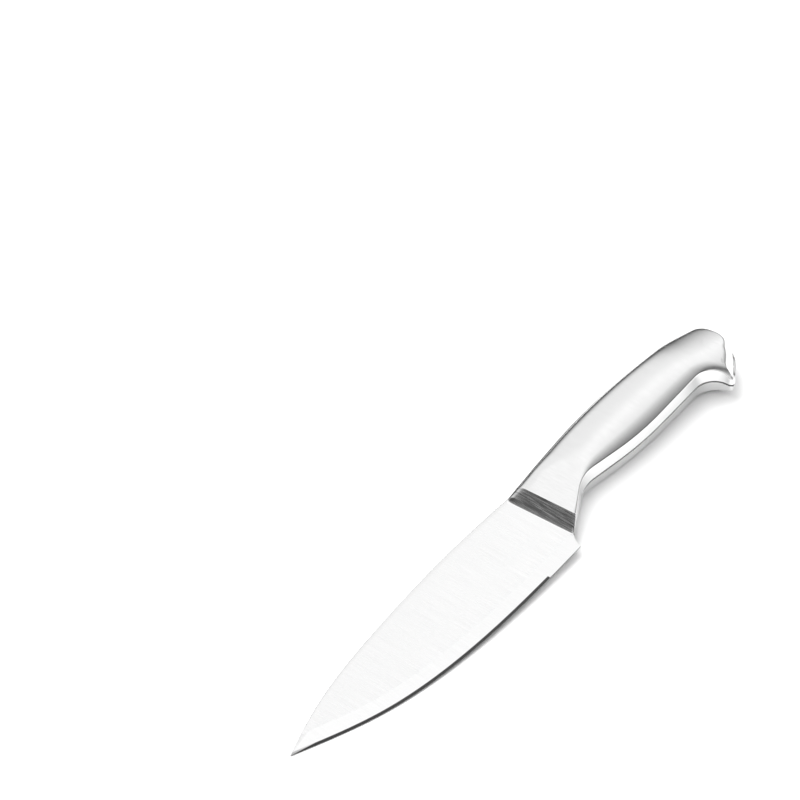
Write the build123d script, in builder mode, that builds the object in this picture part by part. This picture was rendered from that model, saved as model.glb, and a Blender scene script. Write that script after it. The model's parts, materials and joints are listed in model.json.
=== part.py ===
from build123d import *
import os
from math import cos, radians, sin, sqrt, tan

# Chef knife with a hollow, welded handle, all stainless steel. Millimetres, +Z up.
# The knife lies on its left side on a flat surface: tip towards -X, butt towards +X,
# cutting edge towards -Y. It rests on the swell of the handle and on the edge near the tip,
# so its middle plane rises gently from the tip to the butt and rolls towards the edge.
# In the knife's own plane, "along" runs from the heel towards the butt, "across" from
# the cutting edge towards the back, and "height" outwards from the middle plane.
# The heel is at along 0, across 0. Outline points are (along, across).

# Where the heel stands in the part's frame, whose origin is under the middle of the knife
HEEL_POSITION = (10.776, -20.058, 4.014)
RESTING_TILT = 2.275
RESTING_ROLL = 5.0

# Blade
BLADE_THICKNESS = 2.0
TIP = (-150.0, 26.3)
EDGE_POINTS = ((-30.0, 0.2), (-72.0, 2.7), (-114.0, 11.1))
SPINE_POINTS = ((-121.0, 34.0), (-84.0, 38.1), (-36.0, 39.6))
SPINE_AT_BOLSTER = 38.1
TIP_EDGE_DIRECTION = (-1, 0.47)
TIP_SPINE_DIRECTION = (1, 0.32)
SPINE_END_DIRECTION = (1, -0.06)
CHOIL_TOP = 6.2
CHOIL_HOLLOW = (0.9, 2.6)
BEVEL_WIDTH = 7.0
UNHONED_EDGE = 0.5
HONED_EDGE = 0.16
HONED_WIDTH = 1.1
HONED_START = 0.13
CUTTER_MARGIN = 0.5
GRIND_PATH_START = (8.0, 0.0)
GRIND_PATH_END = (-157.0, 29.8)
CUTTER_HEIGHT = 3.0

# Blade's root, thinned where it is welded, and the tang behind it, a stub that passes
# through the bolster into the handle
ROOT_THICKNESS = 1.8
TANG_THICKNESS = 1.6
TANG_START = 0.0
TANG_END = 22.0
TANG_WIDTH = 13.0
TANG_CENTRE = 25.0
TANG_CORNER = 3.0

# Bolster, a wedge with a ramp on each side and a spigot that the shells fit round. It leans
# a little, so it has a plane of its own, and its front and rear are measured in that plane.
BOLSTER_LEAN = 3.5
BOLSTER_FRONT = 3.9
BOLSTER_REAR = 10.2
BOLSTER_FRONT_HEIGHT = 1.45
BOLSTER_REAR_HEIGHT = 4.45
SPIGOT_LENGTH = 5.0
SPIGOT_CLEARANCE = 0.1
FILLET_WELD_LEG = 1.3

# Handle shells and the welds between them
WALL = 1.2
WALL_DRAFT = 8.0
SEAM_WIDTH = 0.8
SEAM_RECESS = 0.15
COLLAR_WIDTH = 0.8
# Where the handle's outline starts, ahead of the bolster so that planes can trim the pieces
OUTLINE_FRONT = -4.0
OUTLINE_FRONT_BELLY = 1.6
OUTLINE_FRONT_BACK = 37.7
# Corners of the handle's outline behind the bolster, each with the radius that rounds it:
# finger hollow, belly, throat of the hook, hook, lower butt, upper butt, back of the butt, back
HANDLE_CORNERS = (
    ((26.6, 17.8), 19.0),
    ((60.2, 12.3), 180.0),
    ((108.9, 12.3), 9.4),
    ((109.3, -0.1), 1.8),
    ((127.7, 12.4), 19.0),
    ((129.1, 30.0), 7.8),
    ((109.7, 36.9), 51.0),
    ((60.6, 41.1), 350.0),
)
# Cross-sections of the swell, from bolster to butt: (along, back line, middle of the crown,
# crown height, crown radius, width of the rolled back)
SWELL_SECTIONS = (
    (-4.0, 37.8, 25.0, 3.0, 150.0, 2.5),
    (9.4, 38.4, 25.0, 4.5, 150.0, 4.0),
    (24.0, 39.3, 26.0, 6.4, 70.0, 6.5),
    (45.0, 40.1, 27.0, 8.0, 48.0, 8.0),
    (72.0, 40.2, 26.0, 8.5, 45.0, 8.5),
    (98.0, 38.2, 24.0, 8.3, 48.0, 8.0),
    (114.0, 35.6, 20.0, 7.6, 55.0, 8.0),
    (124.0, 32.0, 18.0, 6.6, 55.0, 8.0),
    (130.0, 28.0, 16.0, 4.5, 55.0, 8.0),
)
SWELL_REACH = 30.0
BELOW_MIDDLE = 14.0
WALL_HEIGHT = 8.6
BELLY_WELD_END = 110.3
BELLY_WELD_TOP = 25.0

SHELL_FRONT = BOLSTER_REAR + COLLAR_WIDTH
KNIFE_PLANE = Plane(
    origin=HEEL_POSITION,
    x_dir=(cos(radians(RESTING_TILT)), 0, sin(radians(RESTING_TILT))),
    z_dir=(
        -sin(radians(RESTING_TILT)) * cos(radians(RESTING_ROLL)),
        -sin(radians(RESTING_ROLL)),
        cos(radians(RESTING_TILT)) * cos(radians(RESTING_ROLL)),
    ),
)
BOLSTER_PLANE = Plane(
    origin=HEEL_POSITION,
    x_dir=KNIFE_PLANE.x_dir * cos(radians(BOLSTER_LEAN)) + KNIFE_PLANE.y_dir * sin(radians(BOLSTER_LEAN)),
    z_dir=KNIFE_PLANE.z_dir,
)


def section_plane(frame, along):
    """Plane square to a frame's length: its x runs across the frame and its y outwards."""
    return Plane(origin=frame.from_local_coords((along, 0, 0)), x_dir=frame.y_dir, z_dir=frame.x_dir)


def bolster_profile_plane(across):
    """Plane along the bolster, square to the blade: its x runs along the bolster and its y outwards."""
    return Plane(
        origin=BOLSTER_PLANE.from_local_coords((0, across, 0)),
        x_dir=BOLSTER_PLANE.x_dir,
        z_dir=-BOLSTER_PLANE.y_dir,
    )


def bolster_front_at(across):
    """Point of the knife's outline where the bolster's leaning front stands."""
    lean = radians(BOLSTER_LEAN)
    return ((BOLSTER_FRONT - across * sin(lean)) / cos(lean), across)


with BuildSketch(KNIFE_PLANE) as handle_outline:
    with BuildLine():
        belly_front = (OUTLINE_FRONT, OUTLINE_FRONT_BELLY)
        back_front = (OUTLINE_FRONT, OUTLINE_FRONT_BACK)
        corners = [corner for corner, radius in HANDLE_CORNERS]
        radii = [radius for corner, radius in HANDLE_CORNERS]
        FilletPolyline(belly_front, *corners, back_front, radius=radii)
        Line(back_front, belly_front)
    make_face()


def crown_height(across, middle, height, radius):
    """Height of a round crown of the given radius at a place across the handle."""
    return height - radius + sqrt(radius**2 - (across - middle) ** 2)


def swell(inset):
    """All that lies under the handle's swelling side and rolled back, shrunk by the inset."""
    with BuildPart() as form:
        for along, back, middle, height, radius, roll in SWELL_SECTIONS:
            crown = (middle, height - inset, radius)
            roll_end = back - inset
            roll_start = roll_end - roll
            belly_end = middle - SWELL_REACH
            between = (roll_start + belly_end) / 2
            side_points = [(place, crown_height(place, *crown)) for place in (belly_end, between, roll_start)]
            with BuildSketch(section_plane(KNIFE_PLANE, along)):
                with BuildLine():
                    side = ThreePointArc(*side_points)
                    Spline(side @ 1, (roll_end, 0), tangents=[side % 1, (0, -1)])
                    Polyline((roll_end, 0), (roll_end, -BELOW_MIDDLE), (belly_end, -BELOW_MIDDLE), side @ 0)
                make_face()
        loft()
    return form.part


def half_handle(inset):
    """The handle above its middle plane as a solid, every outer face moved in by the inset."""
    swell_form = swell(inset)
    with BuildPart() as half:
        for height in (0, WALL_HEIGHT):
            with BuildSketch(KNIFE_PLANE.offset(height)):
                add(handle_outline.sketch_local)
                shrink = inset + height * tan(radians(WALL_DRAFT))
                if shrink:
                    offset(amount=-shrink)
        loft(ruled=True)
        add(swell_form, mode=Mode.INTERSECT)
    return half.part


outer_half = half_handle(0)
inner_half = half_handle(WALL)
spigot_half = half_handle(WALL + SPIGOT_CLEARANCE)
weld_half = half_handle(SEAM_RECESS)

with BuildLine(KNIFE_PLANE) as grind_path:
    Spline(GRIND_PATH_START, (0, 0), *EDGE_POINTS, TIP, GRIND_PATH_END)


def edge_cutter(start, width, edge_thickness, back_thickness):
    """What a belt grinds off one side of the blade, along its edge from a share of the path."""
    slope = (back_thickness - edge_thickness) / 2 / width
    ground = grind_path.line.edge().trim(start, 1)
    section = Plane(origin=ground @ 0, x_dir=(ground % 0).cross(KNIFE_PLANE.z_dir), z_dir=ground % 0)
    with BuildPart() as cutter:
        with BuildSketch(section):
            with BuildLine():
                Polyline(
                    (-CUTTER_MARGIN, edge_thickness / 2 - CUTTER_MARGIN * slope),
                    (width, back_thickness / 2),
                    (width, CUTTER_HEIGHT),
                    (-CUTTER_MARGIN, CUTTER_HEIGHT),
                    close=True,
                )
            make_face()
        sweep(path=ground)
        mirror(about=KNIFE_PLANE)
    return cutter.part


bevel_slope = (BLADE_THICKNESS - UNHONED_EDGE) / BEVEL_WIDTH
honing_depth = UNHONED_EDGE + bevel_slope * HONED_WIDTH
bevel_cutter = edge_cutter(0, BEVEL_WIDTH, UNHONED_EDGE, BLADE_THICKNESS)
honing_cutter = edge_cutter(HONED_START, HONED_WIDTH, HONED_EDGE, honing_depth)

weld_toe_along = BOLSTER_FRONT - FILLET_WELD_LEG
weld_length = SPINE_AT_BOLSTER - CHOIL_TOP

with BuildPart() as root_steps:
    with BuildSketch(BOLSTER_PLANE.offset(ROOT_THICKNESS / 2)):
        with Locations((weld_toe_along, CHOIL_TOP)):
            Rectangle(BOLSTER_REAR, SPINE_AT_BOLSTER, align=Align.MIN)
    extrude(amount=BLADE_THICKNESS)
    mirror(about=KNIFE_PLANE)

with BuildPart() as tang:
    with BuildSketch(KNIFE_PLANE):
        with Locations(((TANG_START + TANG_END) / 2, TANG_CENTRE)):
            RectangleRounded(TANG_END - TANG_START, TANG_WIDTH, TANG_CORNER)
    extrude(amount=TANG_THICKNESS / 2, both=True)

with BuildPart() as blade:
    with BuildSketch(KNIFE_PLANE):
        with BuildLine():
            spine_end = bolster_front_at(SPINE_AT_BOLSTER)
            choil_end = bolster_front_at(CHOIL_TOP)
            Spline((0, 0), *EDGE_POINTS, TIP, tangents=[(-1, 0), TIP_EDGE_DIRECTION])
            Spline(TIP, *SPINE_POINTS, spine_end, tangents=[TIP_SPINE_DIRECTION, SPINE_END_DIRECTION])
            Line(spine_end, choil_end)
            ThreePointArc(choil_end, CHOIL_HOLLOW, (0, 0))
        make_face()
    extrude(amount=BLADE_THICKNESS / 2, both=True)
    add(bevel_cutter, mode=Mode.SUBTRACT)
    add(honing_cutter, mode=Mode.SUBTRACT)
    add(root_steps.part, mode=Mode.SUBTRACT)
    add(tang.part)
blade.part.label = "blade"

with BuildPart() as spigot:
    add(spigot_half)
    mirror(about=KNIFE_PLANE)
    split(bisect_by=section_plane(BOLSTER_PLANE, BOLSTER_REAR), keep=Keep.TOP)
    split(bisect_by=section_plane(BOLSTER_PLANE, BOLSTER_REAR + SPIGOT_LENGTH), keep=Keep.BOTTOM)

with BuildPart() as bolster:
    add(outer_half)
    mirror(about=KNIFE_PLANE)
    split(bisect_by=section_plane(BOLSTER_PLANE, BOLSTER_FRONT), keep=Keep.TOP)
    split(bisect_by=section_plane(BOLSTER_PLANE, BOLSTER_REAR), keep=Keep.BOTTOM)
    with BuildSketch(bolster_profile_plane(0)):
        with BuildLine():
            Polyline(
                (BOLSTER_FRONT, -BOLSTER_FRONT_HEIGHT),
                (BOLSTER_REAR, -BOLSTER_REAR_HEIGHT),
                (BOLSTER_REAR, BOLSTER_REAR_HEIGHT),
                (BOLSTER_FRONT, BOLSTER_FRONT_HEIGHT),
                close=True,
            )
        make_face()
    extrude(amount=-2 * SPINE_AT_BOLSTER, mode=Mode.INTERSECT)
    add(spigot.part)
    add(tang.part, mode=Mode.SUBTRACT)
bolster.part.label = "bolster"

with BuildPart() as handle_shell_right:
    add(outer_half)
    add(inner_half, mode=Mode.SUBTRACT)
    split(bisect_by=section_plane(BOLSTER_PLANE, SHELL_FRONT), keep=Keep.TOP)
    split(bisect_by=KNIFE_PLANE.offset(SEAM_WIDTH / 2), keep=Keep.TOP)
handle_shell_right.part.label = "handle_shell_right"

with BuildPart() as handle_shell_left:
    mirror(handle_shell_right.part, about=KNIFE_PLANE)
handle_shell_left.part.label = "handle_shell_left"

with BuildPart() as seam_ring:
    add(weld_half)
    add(inner_half, mode=Mode.SUBTRACT)
    mirror(about=KNIFE_PLANE)
    split(bisect_by=section_plane(BOLSTER_PLANE, SHELL_FRONT), keep=Keep.TOP)
    split(bisect_by=KNIFE_PLANE.offset(SEAM_WIDTH / 2), keep=Keep.BOTTOM)
    split(bisect_by=KNIFE_PLANE.offset(-SEAM_WIDTH / 2), keep=Keep.TOP)

with BuildPart() as belly_weld:
    add(seam_ring.part)
    with BuildSketch(KNIFE_PLANE):
        Rectangle(2 * BELLY_WELD_END, 2 * BELLY_WELD_TOP)
    extrude(amount=SEAM_WIDTH, both=True, mode=Mode.INTERSECT)
belly_weld.part.label = "belly_weld"

with BuildPart() as spine_weld:
    add(seam_ring.part)
    with BuildSketch(KNIFE_PLANE):
        Rectangle(2 * BELLY_WELD_END, 2 * BELLY_WELD_TOP)
    extrude(amount=SEAM_WIDTH, both=True, mode=Mode.SUBTRACT)
spine_weld.part.label = "spine_weld"

with BuildPart() as collar_weld:
    add(outer_half)
    add(inner_half, mode=Mode.SUBTRACT)
    mirror(about=KNIFE_PLANE)
    split(bisect_by=section_plane(BOLSTER_PLANE, BOLSTER_REAR), keep=Keep.TOP)
    split(bisect_by=section_plane(BOLSTER_PLANE, SHELL_FRONT), keep=Keep.BOTTOM)
collar_weld.part.label = "collar_weld"

with BuildPart() as blade_welds:
    with BuildSketch(bolster_profile_plane(CHOIL_TOP)):
        with BuildLine():
            weld_top = (BOLSTER_FRONT, BOLSTER_FRONT_HEIGHT)
            weld_root = (BOLSTER_FRONT, ROOT_THICKNESS / 2)
            step_foot = (weld_toe_along, ROOT_THICKNESS / 2)
            weld_toe = (weld_toe_along, BLADE_THICKNESS / 2)
            Polyline(weld_top, weld_root, step_foot, weld_toe)
            TangentArc(weld_toe, weld_top, tangent=(1, 0))
        make_face()
    extrude(amount=-weld_length)
    mirror(about=KNIFE_PLANE)
blade_welds.part.label = "blade_welds"

os.makedirs("parts", exist_ok=True)
export_step(blade.part, "parts/blade.step")
export_step(bolster.part, "parts/bolster.step")
export_step(handle_shell_right.part, "parts/handle_shell_right.step")
export_step(handle_shell_left.part, "parts/handle_shell_left.step")
export_step(spine_weld.part, "parts/spine_weld.step")
export_step(belly_weld.part, "parts/belly_weld.step")
export_step(collar_weld.part, "parts/collar_weld.step")
export_step(blade_welds.part, "parts/blade_welds.step")
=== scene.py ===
import json
import math

import bmesh
import bpy
import numpy as np
from mathutils import Matrix, Vector

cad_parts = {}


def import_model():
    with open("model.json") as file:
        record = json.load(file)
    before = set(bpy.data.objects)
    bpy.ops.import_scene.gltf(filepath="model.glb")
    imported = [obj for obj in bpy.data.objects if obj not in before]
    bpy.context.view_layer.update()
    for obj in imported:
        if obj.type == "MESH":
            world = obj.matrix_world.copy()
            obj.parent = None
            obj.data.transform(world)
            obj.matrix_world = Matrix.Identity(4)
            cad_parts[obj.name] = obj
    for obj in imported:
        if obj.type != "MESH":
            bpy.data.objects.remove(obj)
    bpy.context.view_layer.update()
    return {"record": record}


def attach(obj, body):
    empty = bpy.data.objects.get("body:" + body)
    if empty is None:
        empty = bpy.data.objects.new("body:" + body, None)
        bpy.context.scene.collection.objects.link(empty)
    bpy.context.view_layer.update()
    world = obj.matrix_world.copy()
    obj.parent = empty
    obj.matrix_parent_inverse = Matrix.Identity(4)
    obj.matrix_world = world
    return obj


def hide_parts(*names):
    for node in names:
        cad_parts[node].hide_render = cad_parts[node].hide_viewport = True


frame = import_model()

# A chef knife with a hollow, welded handle, all stainless steel, lying on its left side.
# Lengths are millimetres in the knife's own plane: "along" runs from the heel towards the butt,
# "across" from the cutting edge towards the back, and "height" outwards from the middle plane.
# Every piece is made in those measures, and stands in the world through KNIFE, the matrix below.
MM = 0.001
SHARP = math.radians(35)
TINY = 1e-6
# Vertices closer than the first join, and edges shorter than the second go, in metres
JOIN_DISTANCE = 1e-6
LEAST_EDGE = 1e-7

# Where the record's mount on the blade's upper side stands in the knife's own measures
MOUNT_NAME = "blade_side_right"
MOUNT_PLACE = (-60.0, 22.0, 1.0)

# Blade
HALF_BLADE = 1.0
TIP = (-150.0, 26.3)
EDGE_POINTS = ((-30.0, 0.2), (-72.0, 2.7), (-114.0, 11.1))
SPINE_POINTS = ((-36.0, 39.6), (-84.0, 38.1), (-121.0, 34.0))
SPINE_AT_BOLSTER = 38.1
TIP_EDGE_DIRECTION = (-1.0, 0.47)
TIP_SPINE_DIRECTION = (-1.0, -0.32)
SPINE_START_DIRECTION = (-1.0, 0.06)
CHOIL_TOP = 6.2
CHOIL_HOLLOW = (0.9, 2.6)
BEVEL_WIDTH = 7.0
HALF_UNHONED_EDGE = 0.25
HALF_HONED_EDGE = 0.06
HONED_WIDTH = 1.05
HONED_START = -20.5
HONED_RUN_OUT = 0.25
SPINE_ROUND = 0.4
SPINE_DROP = 0.6
TIP_BLUNT = 0.12

# Bolster, which leans a little: its front and rear are measured along a leaning line
BOLSTER_LEAN = math.radians(3.5)
BOLSTER_FRONT = 3.9
BOLSTER_REAR = 10.2
RAMP_PROFILE = ((3.9, 1.45), (5.0, 2.2), (10.2, 4.45))
WELD_LEG = 1.3
COLLAR_WIDTH = 0.8
COLLAR_PARTING = 0.05
BOLSTER_PARTING = 0.07

# Handle
WALL = 1.2
WALL_DRAFT = math.tan(math.radians(8.0))
HALF_SEAM = 0.4
SEAM_RECESS = 0.3
OUTLINE_START = (-4.0, 1.6)
OUTLINE_END = (-4.0, 37.7)
HANDLE_CORNERS = (
    ((26.6, 17.8), 19.0),
    ((60.2, 12.3), 180.0),
    ((108.9, 12.3), 9.4),
    ((109.5, -0.6), 1.8),
    ((129.0, 11.4), 19.0),
    ((129.8, 30.4), 7.8),
    ((109.8, 37.2), 51.0),
    ((60.6, 41.4), 350.0),
)
HOOK_CORNER = 3
FAN_START = 96.0
# The side behind the ramp rises at this slope until it meets the crown, over a soft blend
NECK_SLOPE = 0.134
NECK_BLEND = 0.5
# Stations of the swell: along, middle of the crown, height of the crown, radius of the crown
SWELL = (
    (0.0, 24.0, 6.6, 40.0),
    (12.0, 24.0, 7.0, 40.0),
    (31.0, 25.0, 7.8, 44.0),
    (48.0, 26.0, 8.4, 48.0),
    (72.0, 25.5, 8.8, 50.0),
    (98.0, 23.0, 8.6, 50.0),
    (114.0, 18.0, 7.9, 48.0),
    (124.0, 16.0, 7.2, 48.0),
    (132.0, 15.0, 6.4, 48.0),
)
# Roll of the side towards the belly's crease: along, width of the roll. The wall hides its foot
SHOULDER = ((0.0, 1.5), (16.0, 1.6), (36.0, 4.4), (140.0, 4.4))
SHOULDER_SLOPE = 0.42
SHOULDER_FOOT = 0.9
# The crease on the finger side: its width, and how far below the roll the wall stops
CREASE_SIZE = 0.5
CREASE_DROP = 0.5
# The hook's tip, and how far and how deep the side drops round it
NOSE = (110.4, 1.2)
NOSE_REACH = 5.5
NOSE_DROP = 0.9
HOOK_WALL = 3.0
HOOK_TIP_SIZE = 0.8
HOOK_TIP_REACH = 4.0
HOOK_ROLL_SLOPE = 0.8
# Roll of the back, from the ramp's foot to the handle: leaning distance along, width of the roll
BACK_ROLL = ((3.9, 3.2), (10.2, 5.2), (26.0, 4.8), (50.0, 5.3), (140.0, 5.3))
# Behind the hook, by distance past it: height of the wall's upright part, and width of the roll above
BUTT_WALL = (
    (1.0, 2.4), (5.0, 1.3), (18.0, 1.3), (24.0, 2.4), (30.0, 3.0), (40.0, 2.0), (54.0, 0.6), (200.0, 0.6)
)
BUTT_ROLL = (
    (0.0, 2.8), (7.0, 5.2), (13.0, 6.2), (18.0, 5.2), (23.0, 3.2), (29.0, 2.4), (36.0, 3.0), (46.0, 4.4),
    (200.0, 4.4),
)
BOLSTER_WALL_RISE = 0.4
BOLSTER_WALL_RUN = 6.0
# How full each rounded edge is, as a share of its corner, and where the butt's shape gives way to
# the back's: distances past the hook
BACK_FULLNESS = 0.68
CREASE_FULLNESS = 0.55
BUTT_FULLNESS = 0.62
BUTT_END = (28.0, 50.0)
# The butt's facet leans inwards and has a narrow rim below it
FACET_TOP_FULLNESS = 0.55
FACET_LEAN = 0.85
FACET_END = (17.0, 25.0)
FACET_ARM = 0.5
RIM_WIDTH = 1.1
RIM_END = (28.0, 46.0)
# The butt's polish fades out between these distances past the hook
POLISH_END = (34.0, 46.0)


# ---- The knife's plane in the world

mount = next(m for m in frame["record"]["mounts"] if m["name"] == MOUNT_NAME)
outwards = Vector(mount["axis"]).normalized()
lengthwise = Vector((outwards.z, 0.0, -outwards.x)).normalized()
crosswise = outwards.cross(lengthwise)
turn = Matrix((lengthwise, crosswise, outwards)).transposed()
KNIFE = Matrix.Translation(Vector(mount["pos_m"]) - turn @ (Vector(MOUNT_PLACE) * MM)) @ turn.to_4x4()


# ---- Curves

def unit(v):
    return v / np.linalg.norm(v)


def table(rows, at):
    """Smooth values between the rows of a table whose first column is where each row stands."""
    rows = np.array(rows, float)
    x, y = rows[:, 0], rows[:, 1:]
    slope = np.gradient(y, x, axis=0)
    at = np.clip(at, x[0], x[-1])
    i = np.clip(np.searchsorted(x, at) - 1, 0, len(x) - 2)
    h = (x[i + 1] - x[i])[..., None]
    t = ((at - x[i])[..., None]) / h
    start, end = y[i], y[i + 1]
    out = (
        (1 + 2 * t) * (1 - t) ** 2 * start
        + t * (1 - t) ** 2 * h * slope[i]
        + t**2 * (3 - 2 * t) * end
        + t**2 * (t - 1) * h * slope[i + 1]
    )
    return out[..., 0] if out.shape[-1] == 1 else np.moveaxis(out, -1, 0)


def ease(t):
    """0 to 1 with an even start and end, as t goes from 0 to 1."""
    t = np.clip(t, 0, 1)
    return t * t * (3 - 2 * t)


def fading(value, span):
    """1 before the span, 0 after it, and an even change between."""
    return 1 - ease((value - span[0]) / (span[1] - span[0]))


def along_knife(points):
    return points[:, 0]


def rounded_line(start, corners, end, step=0.2):
    """Dense points along straight runs joined by tangent arcs."""
    stops = [np.array(start)] + [np.array(c) for c, _ in corners] + [np.array(end)]
    points = [stops[0]]
    for previous, (corner, radius), following in zip(stops, corners, stops[2:]):
        corner = np.array(corner)
        u, v = unit(previous - corner), unit(following - corner)
        half = math.acos(np.clip(u @ v, -1, 1)) / 2
        centre = corner + unit(u + v) * radius / math.sin(half)
        first = corner + u * radius / math.tan(half) - centre
        last = corner + v * radius / math.tan(half) - centre
        sweep = math.pi - 2 * half
        count = max(4, int(radius * sweep / step))
        for k in range(count + 1):
            t = k / count
            swung = math.sin((1 - t) * sweep) * first + math.sin(t * sweep) * last
            points.append(centre + swung / math.sin(sweep))
    points.append(stops[-1])
    return np.array(points)


def clamped_spline(points, start_direction, end_direction, count):
    """A smooth curve through the points that starts and ends in given directions."""
    p = np.array(points, float)
    h = np.linalg.norm(np.diff(p, axis=0), axis=1)
    knots = np.concatenate([[0], np.cumsum(h)])
    n = len(p)
    left, right = np.zeros((n, n)), np.zeros((n, 2))
    left[0, 0] = left[-1, -1] = 1
    right[0], right[-1] = unit(np.array(start_direction)), unit(np.array(end_direction))
    for i in range(1, n - 1):
        left[i, i - 1 : i + 2] = h[i], 2 * (h[i - 1] + h[i]), h[i - 1]
        right[i] = 3 * (h[i - 1] * (p[i + 1] - p[i]) / h[i] + h[i] * (p[i] - p[i - 1]) / h[i - 1])
    slope = np.linalg.solve(left, right)
    at = np.linspace(0, knots[-1], count)
    i = np.clip(np.searchsorted(knots, at) - 1, 0, n - 2)
    t = ((at - knots[i]) / h[i])[:, None]
    return (
        (1 + 2 * t) * (1 - t) ** 2 * p[i]
        + t * (1 - t) ** 2 * h[i][:, None] * slope[i]
        + t**2 * (3 - 2 * t) * p[i + 1]
        + t**2 * (t - 1) * h[i][:, None] * slope[i + 1]
    )


class Curve:
    """A plan curve that is read by distance along it, with the normal on its left."""

    def __init__(self, points, step=0.2, smoothing=0.0):
        points = np.array(points, float)
        gone = np.concatenate([[0], np.cumsum(np.linalg.norm(np.diff(points, axis=0), axis=1))])
        count = max(3, int(gone[-1] / step))
        even = np.linspace(0, gone[-1], count)
        xy = np.stack([np.interp(even, gone, points[:, k]) for k in (0, 1)], axis=1)
        if smoothing:
            reach = int(3 * smoothing / step)
            weight = np.exp(-0.5 * (np.arange(-reach, reach + 1) * step / smoothing) ** 2)
            weight /= weight.sum()
            before = 2 * xy[0] - xy[reach:0:-1]
            after = 2 * xy[-1] - xy[-2 : -reach - 2 : -1]
            padded = np.vstack([before, xy, after])
            xy = np.stack([np.convolve(padded[:, k], weight, mode="valid") for k in (0, 1)], axis=1)
        self.xy = xy
        self.gone = np.concatenate([[0], np.cumsum(np.linalg.norm(np.diff(xy, axis=0), axis=1))])
        self.length = self.gone[-1]
        tangent = np.gradient(xy, self.gone, axis=0)
        tangent /= np.linalg.norm(tangent, axis=1)[:, None]
        self.left = np.stack([-tangent[:, 1], tangent[:, 0]], axis=1)

    def at(self, s):
        return np.stack([np.interp(s, self.gone, self.xy[:, k]) for k in (0, 1)], axis=-1)

    def normal(self, s):
        n = np.stack([np.interp(s, self.gone, self.left[:, k]) for k in (0, 1)], axis=-1)
        return n / np.linalg.norm(n, axis=-1, keepdims=True)

    def where(self, key, value, first, last):
        """Distance along the curve, between two such distances, at which key(points) has a value."""
        inside = (self.gone >= first) & (self.gone <= last)
        keys, gone = key(self.xy[inside]), self.gone[inside]
        order = np.argsort(keys)
        return np.interp(value, keys[order], gone[order])


def leaning(points):
    """Distance along the knife as the leaning bolster measures it."""
    return points[..., 0] * math.cos(BOLSTER_LEAN) + points[..., 1] * math.sin(BOLSTER_LEAN)


def bolster_front_at(across):
    """The plan point of the bolster's front, at a distance across the knife."""
    return np.array([(BOLSTER_FRONT - across * math.sin(BOLSTER_LEAN)) / math.cos(BOLSTER_LEAN), across])


# ---- Meshes

def add_piece(name, vertices, faces, node, material, attributes=None, grain=None):
    """A mesh piece in the knife's own measures that stands for a CAD node and rides on the knife."""
    mesh = bpy.data.meshes.new(name)
    placed = np.array(vertices) * MM @ np.array(turn).T + np.array(KNIFE.translation)
    mesh.from_pydata(placed.tolist(), [], faces)
    for key, values in (attributes or {}).items():
        layer = mesh.attributes.new(key, "FLOAT", "POINT")
        layer.data.foreach_set("value", np.array(values, np.float32))
    if grain is not None:
        layer = mesh.uv_layers.new(name="grain")
        corners = np.zeros(len(mesh.loops), np.int32)
        mesh.loops.foreach_get("vertex_index", corners)
        layer.data.foreach_set("uv", (np.array(grain, float)[corners] * MM).astype(np.float32).ravel())
    mesh.polygons.foreach_set("use_smooth", [True] * len(mesh.polygons))
    mesh.materials.append(material)
    mesh.update()
    mesh.set_sharp_from_angle(angle=SHARP)
    piece = bpy.data.objects.new(name, mesh)
    bpy.context.scene.collection.objects.link(piece)
    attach(piece, "root")
    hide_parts(node)
    return piece


def grid_faces(rows, columns, first=0, flip=False, closed=False):
    """Faces of a grid whose vertices are numbered column by column."""
    faces = []
    for i in range(columns - 1):
        for j in range(rows if closed else rows - 1):
            a = first + i * rows + j
            b = first + i * rows + (j + 1) % rows
            face = (a, a + rows, b + rows, b)
            faces.append(face[::-1] if flip else face)
    return faces


def closed_tube(loops, first=0):
    """Faces round a row of closed loops, with both ends filled."""
    columns, rows = loops.shape[:2]
    last = first + (columns - 1) * rows
    faces = grid_faces(rows, columns, first=first, closed=True)
    return faces + [tuple(range(first, first + rows)), tuple(range(last, last + rows))[::-1]]


def weld_points(piece):
    """Joins vertices of a piece that coincide, where a grid closes on itself."""
    made = bmesh.new()
    made.from_mesh(piece.data)
    bmesh.ops.remove_doubles(made, verts=made.verts, dist=JOIN_DISTANCE)
    bmesh.ops.dissolve_degenerate(made, edges=made.edges, dist=LEAST_EDGE)
    made.to_mesh(piece.data)
    made.free()
    piece.data.update()
    piece.data.set_sharp_from_angle(angle=SHARP)


# ---- The handle's outline and its swelling side

OUTLINE_SMOOTHING = 0.5
SLOPE_STEP = 0.05
BLOCK = 4000  # points handled at once

outline = Curve(rounded_line(OUTLINE_START, HANDLE_CORNERS, OUTLINE_END), smoothing=OUTLINE_SMOOTHING)
hook_point = np.array(HANDLE_CORNERS[HOOK_CORNER][0])
HOOK = outline.gone[np.argmin(np.linalg.norm(outline.xy - hook_point, axis=1))]
belly_line = outline.xy[outline.gone <= HOOK][::2]


def distance_to_belly(points):
    """Distance in plan to the finger side of the outline."""
    flat = points.reshape(-1, 2)
    near = np.empty(len(flat))
    for start in range(0, len(flat), BLOCK):
        block = flat[start : start + BLOCK]
        gap = block[:, None, :] - belly_line[None, :, :]
        near[start : start + BLOCK] = np.sqrt((gap**2).sum(-1)).min(1)
    return near.reshape(points.shape[:-1])


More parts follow.
